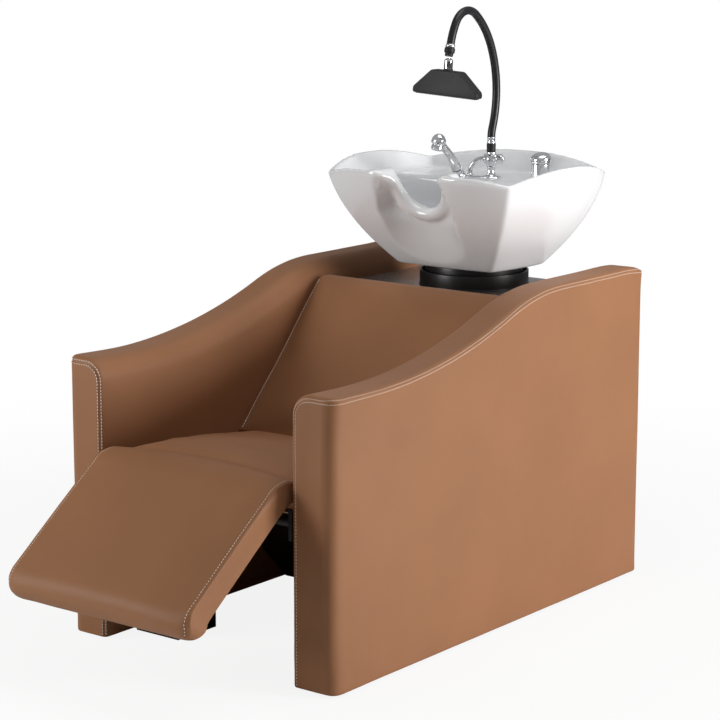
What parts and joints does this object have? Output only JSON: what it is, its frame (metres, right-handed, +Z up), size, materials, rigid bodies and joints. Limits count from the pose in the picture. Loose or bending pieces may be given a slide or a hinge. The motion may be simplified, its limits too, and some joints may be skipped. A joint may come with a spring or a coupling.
{
  "type": "salon hair washing bed",
  "caption": "Reclining salon wash seat with tilting legrest, upholstered arms, tilting ceramic basin with neck notch, mixer, hand shower and arched spray arm.",
  "frame": {"origin": "on the floor under the middle of the whole object's box", "axes": "+Z up, the sitter faces -Y, +X to the left of the sitter, seen on the right from the front"},
  "size_m": [0.7, 1.4716, 1.2811],
  "materials": {
    "tan_leather": "soft grained, low sheen",
    "plywood": "raw, hidden",
    "black_steel": "satin black powder coat",
    "black_satin": "semi gloss black",
    "black_panel": "satin black board",
    "bright_steel": "bright zinc",
    "black_plastic": "matt black",
    "black_hose": "smooth black",
    "white_ceramic": "opaque white glaze, vitreous china",
    "chrome": "polished"
  },
  "bodies": {
    "chair": {"arm_core_near": "plywood", "arm_core_far": "plywood", "arm_cover_near": "tan_leather", "arm_cover_far": "tan_leather", "glide_near_front": "black_plastic", "glide_near_back": "black_plastic", "glide_far_front": "black_plastic", "glide_far_back": "black_plastic", "seat_board": "plywood", "seat_cushion": "tan_leather", "backrest_board": "plywood", "backrest_cushion": "tan_leather", "side_rail_near": "black_steel", "side_rail_far": "black_steel", "seat_cross_tube": "black_steel", "back_cross_tube": "black_steel", "rail_bolt_near_front": "bright_steel", "rail_bolt_near_back": "bright_steel", "rail_bolt_far_front": "bright_steel", "rail_bolt_far_back": "bright_steel", "shaft_bracket_near": "black_steel", "shaft_bracket_far": "black_steel", "legrest_shaft": "bright_steel", "shelf_top": "black_panel", "shelf_cleat_near": "plywood", "shelf_cleat_far": "plywood", "rear_panel": "black_panel", "belly_panel": "black_panel", "control_box": "black_plastic", "control_box_lid": "black_plastic", "basin_ring": "black_satin", "tilt_pin_near": "bright_steel", "tilt_pin_far": "bright_steel"},
    "legrest": {"legrest_board": "plywood", "legrest_cushion": "tan_leather", "legrest_hinge": "black_steel"},
    "basin_unit": {"tilt_collar": "black_satin", "basin": "white_ceramic", "drain_strainer": "chrome", "drain_nut": "black_plastic", "drain_tail": "black_plastic", "mixer_body": "chrome", "shower_socket": "chrome", "link_pipe": "chrome", "valve_stem": "chrome", "valve_body": "chrome"},
    "mixer_ring": {"mixer_cap": "chrome"},
    "mixer_handle": {"mixer_lever": "chrome"},
    "knob": {"valve_knob": "chrome"},
    "hand_shower": {"shower_handle": "chrome", "shower_head": "chrome"},
    "spray_arm": {"hose_collar": "black_plastic", "hose_ferrule_low": "chrome", "spray_hose": "black_hose", "hose_ferrule_high": "chrome", "swivel_nut": "black_plastic"},
    "spray": {"spray_neck": "chrome", "spray_head": "black_plastic", "nozzle_strip": "black_hose"}
  },
  "joints": [
    {"name": "legrest_tilt", "type": "hinge", "parent": "chair", "child": "legrest", "pos_m": [0, -0.40795, 0.332], "axis": [-1, 0, 0], "range_deg": [-27, 37]},
    {"name": "basin_tilt", "type": "hinge", "parent": "chair", "child": "basin_unit", "pos_m": [0, 0.52506, 0.684], "axis": [-1, 0, 0], "range_deg": [-4, 8]},
    {"name": "mixer_swivel", "type": "hinge", "parent": "basin_unit", "child": "mixer_ring", "pos_m": [0.151, 0.56405, 0.9363], "axis": [0, 0, 1], "range_deg": [-45, 45]},
    {"name": "mixer_lift", "type": "hinge", "parent": "mixer_ring", "child": "mixer_handle", "pos_m": [0.151, 0.58605, 0.9416], "axis": [-1, 0, 0], "range_deg": [0, 18]},
    {"name": "valve_turn", "type": "hinge", "parent": "basin_unit", "child": "knob", "pos_m": [0, 0.58805, 0.934], "axis": [0.9394, 0.3428, 0], "range_deg": [0, 90]},
    {"name": "shower_lift", "type": "slide", "parent": "basin_unit", "child": "hand_shower", "axis": [0, -0.7193, 0.6947], "range_m": [0, 0.1]},
    {"name": "arm_swivel", "type": "hinge", "parent": "basin_unit", "child": "spray_arm", "pos_m": [0, 0.58805, 0.95], "axis": [0, 0, 1], "range_deg": [-90, 90]},
    {"name": "spray_swivel", "type": "hinge", "parent": "spray_arm", "child": "spray", "pos_m": [0, 0.42097, 1.17748], "axis": [0.0523, 0, 0.9986], "range_deg": [-90, 90]}
  ]
}
